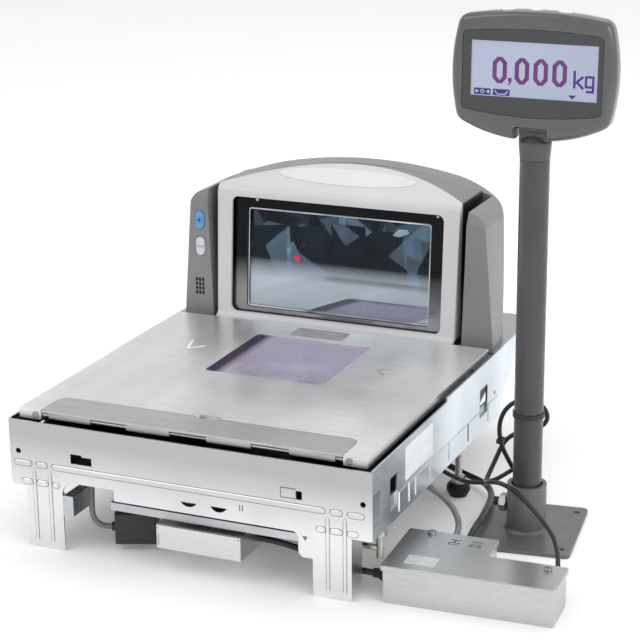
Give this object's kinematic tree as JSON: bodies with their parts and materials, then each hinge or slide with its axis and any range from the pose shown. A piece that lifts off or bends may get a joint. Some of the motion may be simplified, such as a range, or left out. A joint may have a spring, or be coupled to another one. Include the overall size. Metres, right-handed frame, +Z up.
{
  "type": "checkout scanner scale",
  "caption": "Counter scanner and weighing platter with a leaning window tower, a tilting customer display on a pole and a junction box.",
  "frame": {"origin": "middle of the footprint, cords left aside, on the floor", "axes": "+X to the right seen from the front, towards the display pole; +Y to the back, towards the scanner tower; +Z up"},
  "size_m": [0.4426, 0.401, 0.4197],
  "materials": {
    "frame_sheet": "zinc-plated sheet, satin",
    "platter_steel": "fine brushed stainless",
    "junction_steel": "brushed stainless",
    "zinc_fastener": "zinc plated",
    "rim_chrome": "polished",
    "bezel_plastic": "fine texture",
    "inlay_plastic": "smooth",
    "shell_plastic": "fine texture",
    "housing_plastic": "moulded black",
    "coupler_plastic": "moulded black",
    "scan_glass": "clear, polished",
    "deck_glass": "hard coated, lilac cast",
    "mirror": "front-surface mirror",
    "engine_metal": "machined",
    "board": "solder mask",
    "cell_aluminium": "machined and cast",
    "rubber": "moulded",
    "blue_key": "smooth",
    "white_key": "smooth",
    "display_key": "smooth",
    "pole_paint": "powder coat, dark grey",
    "neck_plastic": "moulded",
    "display_plastic": "fine texture",
    "display_mask": "smooth",
    "display_screen": "liquid crystal",
    "grey_cord": "smooth jacket",
    "black_cord": "smooth jacket"
  },
  "bodies": {
    "base": {"box_glands": "rubber", "cable_ties": "coupler_plastic", "circuit_boards": "board", "clamp_screw": "zinc_fastener", "cord_clamps": "housing_plastic", "coupler": "coupler_plastic", "data_cable": "black_cord", "display_cable": "black_cord", "front_brackets": "frame_sheet", "front_panel": "frame_sheet", "interface_box": "frame_sheet", "jack_screws": "zinc_fastener", "junction_lid": "junction_steel", "junction_tray": "junction_steel", "lid_screws": "zinc_fastener", "link_cable": "black_cord", "load_cell": "cell_aluminium", "optics_deck": "housing_plastic", "pattern_mirrors": "mirror", "platter_pads": "rubber", "pole_cable": "black_cord", "pole_stand": "pole_paint", "pole_tube": "pole_paint", "rear_cover": "frame_sheet", "rear_strap": "frame_sheet", "scale_cable": "grey_cord", "scale_spider": "cell_aluminium", "scan_engine": "engine_metal", "scan_windows": "scan_glass", "scanner_tub": "housing_plastic", "side_ledges": "frame_sheet", "side_panels": "frame_sheet", "supply_cable": "grey_cord", "tower_housing": "housing_plastic", "tower_shell": "shell_plastic", "window_rim": "rim_chrome"},
    "platter": {"platter": "platter_steel", "platter_glass": "deck_glass", "corner_screws": "zinc_fastener", "rail_rod": "zinc_fastener", "tower_bezel": "bezel_plastic", "bezel_inlay": "inlay_plastic"},
    "rail": {"produce_rail": "platter_steel"},
    "blue_button": {"blue_button": "blue_key"},
    "white_button": {"white_button": "white_key"},
    "neck": {"neck": "neck_plastic"},
    "display": {"display_bezel": "display_plastic", "display_mask": "display_mask", "display_lcd": "display_screen", "display_back": "display_plastic"},
    "key_left": {"display_key_left": "display_key"},
    "key_middle": {"display_key_middle": "display_key"},
    "key_right": {"display_key_right": "display_key"},
    "mirror_wheel": {"spinner": "mirror"},
    "foot_right": {"foot_stud_right": "zinc_fastener", "foot_pad_right": "rubber"},
    "foot_left": {"foot_stud_left": "zinc_fastener", "foot_pad_left": "rubber"},
    "nut_right": {"adjust_nut_right": "zinc_fastener"},
    "nut_left": {"adjust_nut_left": "zinc_fastener"}
  },
  "joints": [
    {"name": "platter_lift", "type": "slide", "parent": "base", "child": "platter", "axis": [0, 0, 1], "range_m": [0, 0.12]},
    {"name": "rail_flip", "type": "hinge", "parent": "platter", "child": "rail", "pos_m": [-0.06696, -0.1849, 0.1084], "axis": [1, 0, 0], "range_deg": [0, 90]},
    {"name": "blue_button_press", "type": "slide", "parent": "base", "child": "blue_button", "axis": [0, 1, 0], "range_m": [0, 0.0015], "stiffness_N_per_m": 400, "springref_m": -0.001},
    {"name": "white_button_press", "type": "slide", "parent": "base", "child": "white_button", "axis": [0, 1, 0], "range_m": [0, 0.0015], "stiffness_N_per_m": 400, "springref_m": -0.001},
    {"name": "head_swivel", "type": "hinge", "parent": "base", "child": "neck", "pos_m": [0.14934, -0.0205, 0.3], "axis": [0, 0, 1], "range_deg": [-160, 160]},
    {"name": "head_tilt", "type": "hinge", "parent": "neck", "child": "display", "pos_m": [0.14934, -0.0205, 0.331], "axis": [1, 0, 0], "range_deg": [-20, 20]},
    {"name": "display_key_left_press", "type": "slide", "parent": "display", "child": "key_left", "axis": [0, -0.0401, -0.9992], "range_m": [0, 0.0006], "stiffness_N_per_m": 300, "springref_m": -0.001},
    {"name": "display_key_middle_press", "type": "slide", "parent": "display", "child": "key_middle", "axis": [0, -0.0401, -0.9992], "range_m": [0, 0.0006], "stiffness_N_per_m": 300, "springref_m": -0.001},
    {"name": "display_key_right_press", "type": "slide", "parent": "display", "child": "key_right", "axis": [0, -0.0401, -0.9992], "range_m": [0, 0.0006], "stiffness_N_per_m": 300, "springref_m": -0.001},
    {"name": "mirror_spin", "type": "hinge", "parent": "base", "child": "mirror_wheel", "pos_m": [-0.06696, 0.1145, 0.087], "axis": [0, 0, 1], "continuous": true},
    {"name": "nut_turn_right", "type": "hinge", "parent": "base", "child": "nut_right", "pos_m": [0.07404, 0.0295, 0.048], "axis": [0, 0, 1], "range_deg": [0, 1800]},
    {"name": "foot_lift_right", "type": "slide", "parent": "base", "child": "foot_right", "axis": [0, 0, 1], "range_m": [0, 0.005]},
    {"name": "nut_turn_left", "type": "hinge", "parent": "base", "child": "nut_left", "pos_m": [-0.20796, 0.0295, 0.048], "axis": [0, 0, 1], "range_deg": [0, 1800]},
    {"name": "foot_lift_left", "type": "slide", "parent": "base", "child": "foot_left", "axis": [0, 0, 1], "range_m": [0, 0.005]}
  ],
  "couplings": [
    {"joint": "nut_turn_right", "follows": "foot_lift_right", "rad_per_m": 6283.2},
    {"joint": "nut_turn_left", "follows": "foot_lift_left", "rad_per_m": 6283.2}
  ]
}
